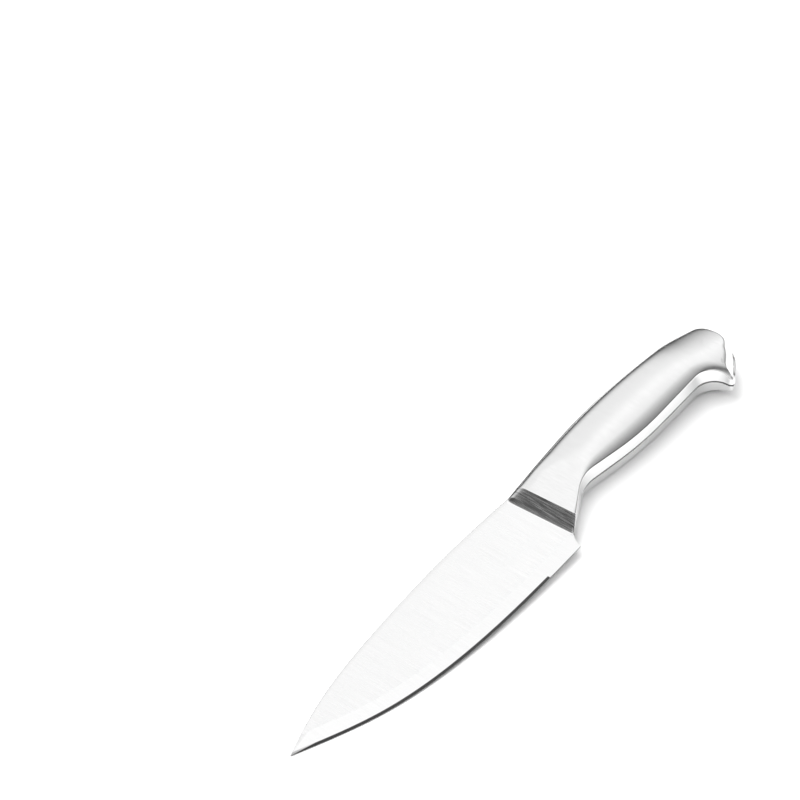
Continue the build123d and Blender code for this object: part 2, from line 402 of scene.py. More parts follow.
def top_height(points):
    """Height of the knife's upper side behind the blade, above the middle plane."""
    x, y = points[..., 0], points[..., 1]
    lean = leaning(points)
    middle, height, radius = table(SWELL, x)
    crown = height - radius + np.sqrt(radius**2 - (y - middle) ** 2)
    width = table(SHOULDER, x)
    inside = distance_to_belly(points)
    roll = SHOULDER_SLOPE / 2 / (width - SHOULDER_FOOT) * np.clip(width - inside, 0, None) ** 2
    crown = crown - roll
    neck = RAMP_PROFILE[-1][1] + NECK_SLOPE * (lean - BOLSTER_REAR)
    gap = np.clip(NECK_BLEND - np.abs(neck - crown), 0, None)
    side = np.minimum(neck, crown) - gap**2 / (4 * NECK_BLEND)
    ramp = np.interp(lean, *np.array(RAMP_PROFILE).T)
    from_nose = np.hypot(x - NOSE[0], y - NOSE[1])
    side = side - NOSE_DROP * np.clip(1 - from_nose / NOSE_REACH, 0, 1) ** 2
    return np.where(lean < BOLSTER_REAR, np.minimum(ramp, neck), side)


def slope_along(points, direction):
    """How fast the upper side rises along a plan direction."""
    step = direction * SLOPE_STEP
    return (top_height(points + step) - top_height(points - step)) / (2 * SLOPE_STEP)


def bezier(a, b, c, d, t):
    """The point at t on a cubic from a to d that b and c pull."""
    return (1 - t) ** 3 * a + 3 * t * (1 - t) ** 2 * b + 3 * t**2 * (1 - t) * c + t**3 * d


# Rows of the mesh: up the wall, with a lip at the seam, over the rounded edge, and across the side
WALL_ROWS = 9
LIP_ROWS = 3
LIP_STEP = 0.05
FILLET_ROWS = 15
SIDE_ROWS = 44
SIDE_CROWDING = 1.6
SIDE_ARM = 0.3
# Bounds that keep a rounded edge in order where the side above it comes down to the seam
LEAST_SQUARE = 0.5
LEAST_ROUND = 0.35
LEAST_WALL = 0.12
LONGEST_ARM = 0.8
USUAL_HEIGHT = 6.0
# The inner face of the shells: share of the wall's thickness at the hook, how soon it is whole, and
# how much tighter its rounded edges are
INSET_AT_HOOK = 0.4
INSET_RUN = 12.0
INSET_TIGHTENING = 3.0


def edge_profile(s, way, size, wall_top, inset, groove, fullness, facet=0.0, rim=0.0):
    """Rows from the seam up the drafted wall and over its rounded top, at distances s of the outline.
    Where facet is 1 the top leaves the wall as a leaning facet; rim is how far the wall steps in.
    Gives the rows' plan points and heights, and the plan points that they end at."""
    normal = outline.normal(s)
    stretch = way / np.clip((way * normal).sum(-1), LEAST_SQUARE, 1)[:, None]
    foot = outline.at(s) + stretch * inset[:, None]
    end_distance = size + WALL_DRAFT * USUAL_HEIGHT
    end = foot + stretch * end_distance[:, None]
    end_height = top_height(end) - inset
    rise = slope_along(end, stretch)
    start_height = np.minimum(wall_top - inset, end_height - LEAST_ROUND * size)
    start_height = np.maximum(start_height, HALF_SEAM + LEAST_WALL)
    start_distance = WALL_DRAFT * start_height + rim
    plan, height = [], []
    for k in range(WALL_ROWS):
        lip = min(k, LIP_ROWS) * LIP_STEP
        lift = groove * (1 - min(k, LIP_ROWS) / LIP_ROWS) ** 2
        above_lip = max(0, k - LIP_ROWS) / (WALL_ROWS - LIP_ROWS)
        h = HALF_SEAM + lip + (start_height - HALF_SEAM - lip) * above_lip
        inward = rim * np.clip((h - HALF_SEAM) / (start_height - HALF_SEAM), 0, 1)
        plan.append(foot + stretch * (WALL_DRAFT * h + inward + lift)[:, None])
        height.append(h)
    reach = np.hypot(end_distance - start_distance, end_height - start_height)
    wall_arm = np.minimum(fullness * (end_height - start_height), LONGEST_ARM * reach)
    lean = WALL_DRAFT + (FACET_LEAN - WALL_DRAFT) * facet
    across = end_distance - start_distance
    wall_arm = wall_arm + (np.minimum(wall_arm, FACET_ARM * across / lean) - wall_arm) * facet
    top_arm = (fullness + (FACET_TOP_FULLNESS - fullness) * facet) * across
    for k in range(FILLET_ROWS):
        t = k / (FILLET_ROWS - 1)
        d = bezier(start_distance, start_distance + lean * wall_arm, end_distance - top_arm, end_distance, t)
        h = bezier(start_height, start_height + wall_arm, end_height - top_arm * rise, end_height, t)
        plan.append(foot + stretch * d[:, None])
        height.append(h)
    return plan, height, end


def column_ways(belly_s, back_s, square):
    """The plan directions in which the columns leave the belly and the back."""
    chord = outline.at(back_s) - outline.at(belly_s)
    length = np.linalg.norm(chord, axis=1, keepdims=True)
    chord = chord / np.maximum(length, 1e-9) * (square * (length[:, 0] > TINY))[:, None]
    belly_way = chord + outline.normal(belly_s) * (1 - square)[:, None]
    back_way = outline.normal(back_s) * (1 - square)[:, None] - chord
    belly_way /= np.linalg.norm(belly_way, axis=1, keepdims=True)
    back_way /= np.linalg.norm(back_way, axis=1, keepdims=True)
    return belly_way, back_way


def belly_edge(s, way, inset, groove):
    """The rounded edge on the finger side, which is a tight crease with a tall wall below it."""
    to_hook = ease(1 - (HOOK - s) / HOOK_TIP_REACH)
    crease = CREASE_SIZE + (HOOK_TIP_SIZE - CREASE_SIZE) * to_hook
    wall = top_height(outline.at(s) + outline.normal(s) * SHOULDER_FOOT) - CREASE_DROP
    wall = wall + (HOOK_WALL - wall) * to_hook
    here = inset * (INSET_AT_HOOK + (1 - INSET_AT_HOOK) * ease((HOOK - s) / INSET_RUN))
    tight = 1 - inset / INSET_TIGHTENING
    return edge_profile(s, way, crease * tight, wall, here, groove, CREASE_FULLNESS), here


def back_edge(s, way, inset, groove):
    """The rounded edge along the back and round the butt."""
    past = s - HOOK
    lean = leaning(outline.at(s))
    from_hook = ease(1 - past / HOOK_TIP_REACH)
    on_butt = fading(past, BUTT_END)
    roll = np.minimum(table(BACK_ROLL, lean), HOOK_TIP_SIZE + HOOK_ROLL_SLOPE * np.clip(past, 0, None))
    roll = roll + (np.minimum(roll, table(BUTT_ROLL, past)) - roll) * on_butt
    wall = table(BUTT_WALL, past) + BOLSTER_WALL_RISE * ease((BOLSTER_REAR - lean) / BOLSTER_WALL_RUN)
    wall = wall + (HOOK_WALL - wall) * from_hook
    full = BACK_FULLNESS + (BUTT_FULLNESS - BACK_FULLNESS) * on_butt
    full = full + (CREASE_FULLNESS - full) * from_hook
    facet = (1 - from_hook) * fading(past, FACET_END)
    rim = RIM_WIDTH * (1 - from_hook) * fading(past, RIM_END)
    here = inset * (INSET_AT_HOOK + (1 - INSET_AT_HOOK) * ease(past / INSET_RUN))
    tight = 1 - inset / INSET_TIGHTENING
    return edge_profile(s, way, roll * tight, wall, here, groove, full, facet, rim), here


def half_grid(belly_s, back_s, square, inset=0.0, groove=SEAM_RECESS):
    """Plan points and heights of the upper half, one column for each pair of outline distances.
    Square columns run straight across; the others leave the outline at right angles."""
    belly_way, back_way = column_ways(belly_s, back_s, square)
    belly, belly_inset = belly_edge(belly_s, belly_way, inset, groove)
    back, back_inset = back_edge(back_s, back_way, inset, groove)
    pull = SIDE_ARM * np.linalg.norm(back[2] - belly[2], axis=-1, keepdims=True)
    plan, height = belly[0], belly[1]
    for k in range(1, SIDE_ROWS):
        t = k / SIDE_ROWS
        t = t * t * (SIDE_CROWDING - (SIDE_CROWDING - 1) * t)
        xy = bezier(belly[2], belly[2] + belly_way * pull, back[2] + back_way * pull, back[2], t)
        plan.append(xy)
        height.append(top_height(xy) - (belly_inset * (1 - t) + back_inset * t))
    plan += back[0][::-1]
    height += back[1][::-1]
    return np.concatenate([np.stack(plan, 1), np.stack(height, 1)[..., None]], axis=-1)


# How fast the polish of the wall fades over a rounded edge, and how many rows of the back keep it
CREASE_POLISH_FADE = 1.6
BACK_POLISH_FADE = 3.0
BUTT_POLISH_ROWS = 4
BOLSTER_POLISH_ROWS = 3


def flank_share():
    """1 on the polished wall, 0 on the brushed side, for each row of a half grid."""
    wall = [1.0] * WALL_ROWS
    belly_over, back_over = (
        [1 - ease(k / (FILLET_ROWS - 1) * fade) for k in range(FILLET_ROWS)]
        for fade in (CREASE_POLISH_FADE, BACK_POLISH_FADE)
    )
    return np.array(wall + belly_over + [0.0] * (SIDE_ROWS - 1) + (wall + back_over)[::-1])


polish_rows = flank_share()
ROWS = len(polish_rows)
BACK_EDGE = ROWS - WALL_ROWS - FILLET_ROWS
# Stretches of the outline that are searched: near the bolster on both sides, and either side of the fan
NEAR_BOLSTER = 40.0
BEFORE_HOOK = 12.0
PAST_HOOK = 30.0
SQUARE_COLUMNS = 120
FAN_COLUMNS = 150
FAN_CROWDING = 1.25
FAN_EVENNESS = 0.55
FAN_TURN = 2.5


def near_bolster(lean):
    """Outline distances of a leaning line's ends on the belly and on the back."""
    belly = outline.where(leaning, lean, 0, NEAR_BOLSTER)
    back = outline.where(leaning, lean, outline.length - NEAR_BOLSTER, outline.length)
    return belly, back


def bolster_columns(stops):
    """Outline distances of square columns along leaning lines."""
    belly, back = (np.array(ends) for ends in zip(*(near_bolster(lean) for lean in stops)))
    return belly, back, np.ones(len(stops))


def handle_columns(start):
    """Outline distances of the columns behind a leaning line: square across, then fanned round the hook."""
    belly_start, back_start = (outline.at(s)[0] for s in near_bolster(start))
    share = np.linspace(0, 1, SQUARE_COLUMNS)
    belly_x = belly_start + (FAN_START - belly_start) * share
    back_x = back_start + (FAN_START - back_start) * share
    belly = outline.where(along_knife, belly_x, 0, HOOK - BEFORE_HOOK)
    back = outline.where(along_knife, back_x, HOOK + PAST_HOOK, outline.length)
    fan = np.linspace(0, 1, FAN_COLUMNS)[1:]
    crowded = 1 - (1 - fan) ** FAN_CROWDING
    fan_belly = belly[-1] + (HOOK - belly[-1]) * (FAN_EVENNESS * fan + (1 - FAN_EVENNESS) * crowded)
    fan_back = back[-1] + (HOOK - back[-1]) * crowded
    square = np.concatenate([np.ones(len(share)), ease(1 - fan * FAN_TURN)])
    return np.concatenate([belly, fan_belly]), np.concatenate([back, fan_back]), square


GRAIN_CLIMB = 0.5


def grain_lines(points):
    """Grain coordinates of a handle surface: distance along the knife, and distance across it."""
    return np.stack([points[..., 0], points[..., 1] + GRAIN_CLIMB * points[..., 2]], axis=-1)


# ---- Materials

def grey_colour(grey):
    return (grey, grey, grey, 1)


def node(tree, kind, **settings):
    """A new node with some of its settings or inputs set."""
    made = tree.nodes.new(kind)
    for key, value in settings.items():
        if hasattr(made, key):
            setattr(made, key, value)
        else:
            made.inputs[key].default_value = value
    return made


POLISHED_ROUGHNESS = 0.09
POLISHED_HEIGHT = 0.5
# The grain's noise: its detail and roughness. The grey's mottling is broader, by these shares of the grain
FINE_NOISE = (3.0, 0.6)
BROAD_NOISE = (2.0, 0.5)
BROAD_GRAIN = (0.12, 0.35)
# The part of the noise's range that is spread over the whole range of roughness
NOISE_SPAN = (0.3, 0.7)


def grain_noise(tree, where, scale, detail, roughness):
    """Noise drawn out along the grain coordinates."""
    stretch = node(tree, "ShaderNodeMapping", Scale=(*scale, 1))
    tree.links.new(where.outputs[0], stretch.inputs["Vector"])
    made = node(
        tree, "ShaderNodeTexNoise", noise_dimensions="2D", Scale=1.0, Detail=detail, Roughness=roughness
    )
    tree.links.new(stretch.outputs[0], made.inputs["Vector"])
    return made.outputs["Fac"]


def polished(tree, share, value, target):
    """A value that goes over to a target where the piece is polished."""
    mix = node(tree, "ShaderNodeMix", data_type="FLOAT", B=target)
    tree.links.new(share.outputs["Fac"], mix.inputs["Factor"])
    tree.links.new(value, mix.inputs["A"])
    return mix.outputs["Result"]


def ranged(tree, value, first, last, low, high, **settings):
    """A value's range from first to last, spread from low to high."""
    made = node(tree, "ShaderNodeMapRange", **settings)
    for key, number in zip(("From Min", "From Max", "To Min", "To Max"), (first, last, low, high)):
        made.inputs[key].default_value = number
    tree.links.new(value, made.inputs["Value"])
    return made.outputs["Result"]


def tinted(tree, noise, dim, lit):
    """A grey that a noise varies between two."""
    tint = node(tree, "ShaderNodeMix", data_type="RGBA")
    tint.inputs["A"].default_value = grey_colour(dim)
    tint.inputs["B"].default_value = grey_colour(lit)
    tree.links.new(noise, tint.inputs["Factor"])
    return tint.outputs["Result"]


def steel(
    name, grey, rough, brush, scratch, grain, aniso=0.0, polish=False, mottle=0.012, streaks=False
):
    """Stainless steel with a fine brushed grain that runs across the knife: brush is how much the
    roughness varies, scratch how deep the grain is, and mottle how much the grey varies."""
    material = bpy.data.materials.new(name)
    material.use_nodes = True
    tree = material.node_tree
    shader = tree.nodes["Principled BSDF"]
    shader.inputs["Metallic"].default_value = 1.0
    shader.inputs["Anisotropic"].default_value = aniso
    links = tree.links
    where = node(tree, "ShaderNodeUVMap", uv_map="grain")
    fine = grain_noise(tree, where, grain, *FINE_NOISE)
    broad = grain_noise(tree, where, (grain[0] * BROAD_GRAIN[0], grain[1] * BROAD_GRAIN[1]), *BROAD_NOISE)
    colour = tinted(tree, fine if streaks else broad, grey * (1 - mottle * 2), min(1, grey * (1 + mottle)))
    links.new(colour, shader.inputs["Base Color"])
    rough_out = ranged(tree, fine, *NOISE_SPAN, rough * (1 - brush), rough * (1 + brush))
    height_out = fine
    if polish:
        share = node(tree, "ShaderNodeAttribute", attribute_name="polish")
        rough_out = polished(tree, share, rough_out, POLISHED_ROUGHNESS)
        height_out = polished(tree, share, height_out, POLISHED_HEIGHT)
    links.new(rough_out, shader.inputs["Roughness"])
    bump = node(tree, "ShaderNodeBump", Strength=1.0, Distance=scratch * MM)
    links.new(height_out, bump.inputs["Height"])
    links.new(bump.outputs[0], shader.inputs["Normal"])
    if aniso:
        tangent = node(tree, "ShaderNodeTangent", direction_type="UV_MAP", uv_map="grain")
        links.new(tangent.outputs[0], shader.inputs["Tangent"])
    return material


blade_steel = steel(
    "blade_steel", grey=0.89, rough=0.26, brush=0.2, scratch=0.0004, grain=(2600, 60),
    aniso=0.3, mottle=0.007,
)
bevel_steel = steel(
    "bevel_steel", grey=0.92, rough=0.2, brush=0.2, scratch=0.0012, grain=(3200, 60), aniso=0.5
)
handle_steel = steel(
    "handle_steel", grey=0.83, rough=0.2, brush=0.3, scratch=0.004, grain=(2600, 160), polish=True
)
# The honed edge's steel is near-black: a painted dark reflection along the cutting edge
edge_painted_dark_steel = steel("edge_painted_dark_steel", grey=0.11, rough=0.3, brush=0.3, scratch=0.001, grain=(3200, 60))
ramp_steel = steel(
    "ramp_steel", grey=0.8, rough=0.24, brush=0.4, scratch=0.01, grain=(1900, 90),
    polish=True, mottle=0.42, streaks=True,
)
# The seam welds' steel is near-black: painted shade and dark reflection in the recessed seam
seam_painted_shade_steel = steel(
    "seam_painted_shade_steel", grey=0.12, rough=0.4, brush=0.3, scratch=0.01, grain=(1500, 900), mottle=0.06
)


# ---- Handle shells

SHELL_FRONT = BOLSTER_REAR + COLLAR_WIDTH
shell_columns = handle_columns(SHELL_FRONT)
outer = half_grid(*shell_columns)
inner = half_grid(*shell_columns, inset=WALL, groove=0.0)
COLUMNS = len(outer)
butt_rows = np.arange(ROWS) >= BACK_EDGE + BUTT_POLISH_ROWS
shell_polish = np.maximum(polish_rows, butt_rows * fading(shell_columns[1] - HOOK, POLISH_END)[:, None])


def shell(name, side):
    """Half of the handle, a shell of even thickness, on the upper (1) or lower (-1) side."""
    faces = grid_faces(ROWS, COLUMNS)
    count = ROWS * COLUMNS
    faces += grid_faces(ROWS, COLUMNS, first=count, flip=True)
    for j in (0, ROWS - 1):
        for i in range(COLUMNS - 1):
            a, b = i * ROWS + j, (i + 1) * ROWS + j
            face = (a, a + count, b + count, b)
            faces.append(face if j == 0 else face[::-1])
    for j in range(ROWS - 1):
        faces.append((j, j + 1, j + 1 + count, j + count))
    vertices = np.concatenate([outer.reshape(-1, 3), inner.reshape(-1, 3)])
    vertices = vertices * (1, 1, side)
    if side < 0:
        faces = [f[::-1] for f in faces]
    grain = np.concatenate([grain_lines(outer).reshape(-1, 2)] * 2)
    polish = np.tile(shell_polish.ravel(), 2)
    piece = add_piece(
        name + "_visual", vertices, faces, name, handle_steel, {"polish": polish}, grain
    )
    weld_points(piece)


shell("handle_shell_right", 1)
shell("handle_shell_left", -1)


# ---- Collar and bolster, which run right round the knife

# Columns along each, and the narrow gaps between columns where the surface breaks
COLLAR_COLUMNS = 5
RAMP_FOOT_COLUMNS = 4
RAMP_COLUMNS = 12
COLUMN_GAP = 0.12
LAST_GAP = 0.04
LEAST_RADIUS = 4.0


def ring_loops(belly, back, square, parting):
    """Closed loops round the knife, one for each column: the upper half, then the lower one, with a
    parting line of the given depth between them on both sides."""
    half = half_grid(belly, back, square, groove=0.0)
    belly_line = half[:, :1] * (1, 1, 0)
    back_line = half[:, -1:] * (1, 1, 0)
    belly_line[:, 0, :2] += outline.normal(belly) * (parting - HALF_SEAM * WALL_DRAFT)
    back_line[:, 0, :2] += outline.normal(back) * (parting - HALF_SEAM * WALL_DRAFT)
    lower = half[:, ::-1] * (1, 1, -1)
    return np.concatenate([belly_line, half, back_line, lower], axis=1)


def ring_piece(name, loops, material, hollow):
    """A piece that runs right round the knife, as a tube or filled."""
    columns, rows = loops.shape[:2]
    vertices = loops.reshape(-1, 3)
    if hollow:
        faces = grid_faces(rows, columns, closed=True)
        middle = loops.mean(axis=1, keepdims=True)
        away = loops - middle
        radius = np.linalg.norm(away, axis=-1, keepdims=True).clip(LEAST_RADIUS, None)
        inside = middle + away * (1 - WALL / radius)
        count = rows * columns
        faces += grid_faces(rows, columns, first=count, closed=True, flip=True)
        vertices = np.concatenate([vertices, inside.reshape(-1, 3)])
        for i in (0, columns - 1):
            for j in range(rows):
                a, b = i * rows + j, i * rows + (j + 1) % rows
                face = (a, b, b + count, a + count)
                faces.append(face if i == 0 else face[::-1])
    else:
        faces = closed_tube(loops)
    grain = grain_lines(loops).reshape(-1, 2)
    half_share = np.where(np.arange(ROWS) >= BACK_EDGE + BOLSTER_POLISH_ROWS, 1.0, polish_rows)
    share = np.concatenate([[1], half_share, [1], half_share[::-1]])
    polish = np.tile(share, columns)
    if hollow:
        grain, polish = np.concatenate([grain] * 2), np.tile(polish, 2)
    add_piece(name + "_visual", vertices, faces, name, material, {"polish": polish}, grain)


def collar():
    """The weld ring between the bolster and the shells."""
    stops = np.linspace(BOLSTER_REAR, SHELL_FRONT, COLLAR_COLUMNS)
    loops = ring_loops(*bolster_columns(stops), COLLAR_PARTING)
    ring_piece("collar_weld", loops, handle_steel, hollow=True)


def bolster():
    """The bolster, whose ramp breaks near its foot. Gives its loops, which the blade's welds meet."""
    ramp_break = RAMP_PROFILE[1][0]
    stops = np.concatenate([
        np.linspace(BOLSTER_FRONT, ramp_break - COLUMN_GAP, RAMP_FOOT_COLUMNS),
        np.linspace(ramp_break, BOLSTER_REAR - COLUMN_GAP, RAMP_COLUMNS),
        [BOLSTER_REAR - LAST_GAP, BOLSTER_REAR],
    ])
    loops = ring_loops(*bolster_columns(stops), BOLSTER_PARTING)
    ring_piece("bolster", loops, ramp_steel, hollow=False)
    return loops


collar()
bolster_loops = bolster()


# ---- Seam welds

BEAD_STEP = 0.5
BEAD_DEPTH = 0.03
BEAD_RIPPLE = 0.02
BEAD_PITCH = 1.3
BEAD_DRIFT = 0.7
BEAD_HEIGHTS = np.array([-1, -0.6, -0.2, 0.2, 0.6, 1]) * HALF_SEAM
BEAD_GRAIN = 0.2


def seam_weld(name, first, last):
    """A recessed run of weld between the shells, from one distance along the outline to another, in a
    near-black steel that paints in the seam's shade and dark reflection.
    """
    s = np.arange(first, last, BEAD_STEP)
    inward = outline.normal(s)
    ripple = BEAD_RIPPLE * np.sin(s * 2 * math.pi / BEAD_PITCH) * np.sin(s * BEAD_DRIFT)
    sections = []
    for h in BEAD_HEIGHTS:
        crown = 1 - (h / HALF_SEAM) ** 2
        bead = SEAM_RECESS + BEAD_DEPTH - BEAD_DEPTH * crown + ripple * crown
        xy = outline.at(s) + inward * bead[:, None]
        sections.append(np.column_stack([xy, np.full(len(s), h)]))
    for h in (HALF_SEAM, -HALF_SEAM):
        xy = outline.at(s) + inward * WALL
        sections.append(np.column_stack([xy, np.full(len(s), h)]))
    loops = np.stack(sections, axis=1)
    rows = loops.shape[1]
    grain = np.stack([np.repeat(s, rows), np.tile(np.arange(rows) * BEAD_GRAIN, len(s))], axis=-1)
    vertices = loops.reshape(-1, 3)
    add_piece(name + "_visual", vertices, closed_tube(loops), name, seam_painted_shade_steel, None, grain)


belly_first, back_last = (float(s) for s in near_bolster(SHELL_FRONT))
seam_weld("belly_weld", belly_first, HOOK)
seam_weld("spine_weld", HOOK, back_last)


# ---- Blade

SPLINE_POINTS = 900
CHOIL_COLUMNS = 26
EDGE_COLUMNS = 300
TIP_CROWDING = 1.08
SPINE_OVER_HEEL = 2.6
HONED_SEARCH = 60.0
STEP_WIDTH = 0.02
# Rows across the honed edge, as shares of its width, then up the bevel, over the flat, round the spine
HONED_ROWS = np.array([0, 0.25, 0.5, 0.75, 0.97, 1.03])
BEVEL_ROWS = 12
BEVEL_FIRST = 0.3
BEVEL_LAST = 0.2
GRIND_LINE = 0.15
BEVEL_SHARE = 0.9
FLAT_ROWS = 18
FLAT_ARM = 0.33
SPINE_ROWS = 4
GROUND_DEPTHS = np.concatenate([
    HONED_ROWS * HONED_WIDTH,
    np.linspace(HONED_WIDTH + BEVEL_FIRST, BEVEL_WIDTH - BEVEL_LAST, BEVEL_ROWS),
    [BEVEL_WIDTH, BEVEL_WIDTH + GRIND_LINE],
])
# Material slots of the blade; the honed edge's slot holds the near-black steel of the painted dark
# reflection
BEVEL_STEEL, EDGE_PAINTED_DARK = 1, 2


def arc_through(a, b, c, count):
    """Points of the circle through three points, from the first to the last."""
    a, b, c = (np.array(p, float) for p in (a, b, c))
    left = 2 * np.array([b - a, c - a])
    right = np.array([b @ b - a @ a, c @ c - a @ a])
    centre = np.linalg.solve(left, right)
    radius = np.linalg.norm(a - centre)
    angles = [math.atan2(*(p - centre)[::-1]) for p in (a, b, c)]
    angles = np.unwrap(angles)
    sweep = np.linspace(angles[0], angles[2], count)
    return centre + radius * np.stack([np.cos(sweep), np.sin(sweep)], axis=-1)


def half_thickness(depth, honed):
    """Half the blade's thickness at a distance from its cutting edge."""
    ground = HALF_UNHONED_EDGE + (HALF_BLADE - HALF_UNHONED_EDGE) * depth / BEVEL_WIDTH
    top = HALF_UNHONED_EDGE + (HALF_BLADE - HALF_UNHONED_EDGE) * HONED_WIDTH / BEVEL_WIDTH
    sharp = HALF_HONED_EDGE + (top - HALF_HONED_EDGE) * depth / HONED_WIDTH
    return np.minimum(HALF_BLADE, np.minimum(ground, ground + (sharp - ground) * honed))


def blade_columns():
    """The blade's columns, down the hollow choil and along the edge to the tip: where each one stands,
    its way in, how deep in the blade it starts, how far it is honed there, and its top on the spine."""
    edge = Curve(clamped_spline([(0, 0), *EDGE_POINTS, TIP], (-1, 0), TIP_EDGE_DIRECTION, SPLINE_POINTS))
    spine_points = [bolster_front_at(SPINE_AT_BOLSTER), *SPINE_POINTS, TIP]
    spine = Curve(clamped_spline(spine_points, SPINE_START_DIRECTION, TIP_SPINE_DIRECTION, SPLINE_POINTS))
    choil = arc_through(bolster_front_at(CHOIL_TOP), CHOIL_HOLLOW, (0, 0), CHOIL_COLUMNS)
    honed_at = edge.where(along_knife, HONED_START, 0, HONED_SEARCH)
    s = edge.length * (1 - (1 - np.linspace(0, 1, EDGE_COLUMNS)) ** TIP_CROWDING)
    step = honed_at + np.array([0, STEP_WIDTH, HONED_RUN_OUT, HONED_RUN_OUT + STEP_WIDTH])
    s = np.sort(np.concatenate([s[1:], step]))
    s[-1] = edge.length - TIP_BLUNT
    over_choil = np.linspace(0, SPINE_OVER_HEEL, CHOIL_COLUMNS)
    over_edge = SPINE_OVER_HEEL + (spine.length - TIP_BLUNT - SPINE_OVER_HEEL) * (s / edge.length)
    feet = np.concatenate([choil, edge.at(s)])
    inward = np.concatenate([np.tile([0.0, 1.0], (CHOIL_COLUMNS, 1)), -edge.normal(s)])
    foot_depth = np.concatenate([choil[:, 1], np.zeros(len(s))])
    honed = np.concatenate([np.zeros(CHOIL_COLUMNS), ease((s - honed_at) / HONED_RUN_OUT)])
    return feet, inward, foot_depth, honed, spine.at(np.concatenate([over_choil, over_edge]))


def blade_side(feet, inward, foot_depth, honed, tops):
    """Rows of the blade's upper side: up the bevel, over the flat, then round to the spine."""
    width = np.linalg.norm(tops - feet, axis=1)
    squeeze = np.minimum(1, (width * BEVEL_SHARE) / GROUND_DEPTHS[-1])
    rows = []
    for depth in GROUND_DEPTHS:
        placed = np.maximum(depth * squeeze, foot_depth + STEP_WIDTH * depth) - foot_depth
        xy = feet + inward * placed[:, None]
        rows.append(np.column_stack([xy, half_thickness(foot_depth + placed, honed)]))
    start = rows[-1][:, :2]
    reach = np.linalg.norm(tops - start, axis=1, keepdims=True)
    stop = np.maximum(0.0, 1 - SPINE_ROUND / np.maximum(reach, TINY))
    for k in range(1, FLAT_ROWS + 1):
        t = k / FLAT_ROWS * stop
        xy = bezier(start, start + inward * reach * FLAT_ARM, tops + (start - tops) * FLAT_ARM, tops, t)
        depth = foot_depth + np.linalg.norm(xy - feet, axis=1)
        rows.append(np.column_stack([xy, half_thickness(depth, honed)]))
    shoulder = rows[-1]
    for k in range(1, SPINE_ROWS + 1):
        angle = math.pi / 2 * k / SPINE_ROWS
        xy = shoulder[:, :2] + (tops - shoulder[:, :2]) * math.sin(angle)
        drop = np.minimum(SPINE_ROUND, shoulder[:, 2] * SPINE_DROP) * (1 - math.cos(angle))
        rows.append(np.column_stack([xy, shoulder[:, 2] - drop]))
    return np.stack(rows, axis=1)


def finish_ground_faces(mesh, rows, honed):
    """Gives the bevel its own steel, and the honed edge a near-black steel that paints in the dark
    reflection along the cutting edge.
    """
    row = np.arange(rows)
    bevel_rows = len(GROUND_DEPTHS) - 2
    in_bevel = (row < bevel_rows) | (row >= rows - bevel_rows - 1)
    for face in mesh.polygons:
        lowest = min(v % rows for v in face.vertices)
        highest = max(v % rows for v in face.vertices)
        if in_bevel[lowest] and in_bevel[highest]:
            face.material_index = BEVEL_STEEL
        # The edge's end face and the honed rows take the near-black steel of the painted dark reflection
        rim = lowest == 0 and highest == rows - 1
        beside_rim = highest < len(HONED_ROWS) or lowest >= rows - len(HONED_ROWS)
        sharpened = max(honed[v // rows] for v in face.vertices) > 0.5
        if rim or beside_rim and sharpened:
            face.material_index = EDGE_PAINTED_DARK


def blade():
    """The blade, in closed loops from the tip to the bolster."""
    feet, inward, foot_depth, honed, tops = blade_columns()
    upper = blade_side(feet, inward, foot_depth, honed, tops)
    loops = np.concatenate([upper, upper[:, ::-1] * (1, 1, -1)], axis=1)[::-1]
    rows = loops.shape[1]
    depth = np.linalg.norm(loops[..., :2] - np.repeat(feet[::-1, None], rows, axis=1), axis=-1)
    grain = np.stack([loops[..., 0], depth], axis=-1).reshape(-1, 2)
    vertices, faces = loops.reshape(-1, 3), closed_tube(loops)
    piece = add_piece("blade_visual", vertices, faces, "blade", blade_steel, None, grain)
    piece.data.materials.append(bevel_steel)
    piece.data.materials.append(edge_painted_dark_steel)
    finish_ground_faces(piece.data, rows, honed[::-1])
    weld_points(piece)


blade()


# ---- Fillet welds between blade and bolster

WELD_STEPS = 9
WELD_ARM = 0.4
WELD_SINK = 0.1
LEAST_WELD = 0.03


def fillet_loops():
    """Sections of the weld in the corner between the blade and the bolster, on the upper side."""
    foot = bolster_loops[0, 1 : 1 + ROWS]
    proud = foot[foot[:, 2] > HALF_BLADE + LEAST_WELD]
    flat = np.full(len(proud), HALF_BLADE)
    rearwards = np.array([math.cos(BOLSTER_LEAN), math.sin(BOLSTER_LEAN)])
    (first, low), (second, high) = RAMP_PROFILE[:2]
    under_ramp = np.maximum(proud[:, 2] - WELD_ARM * (high - low) / (second - first), HALF_BLADE)
    sections = []
    for k in range(WELD_STEPS):
        t = k / (WELD_STEPS - 1)
        out = bezier(0.0, WELD_ARM, WELD_LEG / 2, WELD_LEG, t)
        h = bezier(proud[:, 2], under_ramp, flat, flat, t)
        sections.append(np.column_stack([proud[:, :2] - rearwards * out, h]))
    for out in (WELD_LEG, 0.0):
        sections.append(np.column_stack([proud[:, :2] - rearwards * out, flat - WELD_SINK]))
    return np.stack(sections, axis=1)


def blade_welds():
    """Both fillet welds, one on each side of the blade, as one piece."""
    loops = fillet_loops()
    vertices, faces = [], []
    for k, side in enumerate((1, -1)):
        vertices.append((loops * (1, 1, side)).reshape(-1, 3))
        made = closed_tube(loops, first=k * len(vertices[0]))
        faces += made if side > 0 else [f[::-1] for f in made]
    grain = np.tile(loops[..., :2].reshape(-1, 2), (2, 1))
    vertices = np.concatenate(vertices)
    add_piece("blade_welds_visual", vertices, faces, "blade_welds", bevel_steel, None, grain)


blade_welds()


# ---- Floor, light and camera

FLOOR_REACH = 6.0
FLOOR_GREYS = (0.87, 0.90)
FLOOR_CLOUDS = 9.0
FLOOR_ROUGHNESS = 0.9

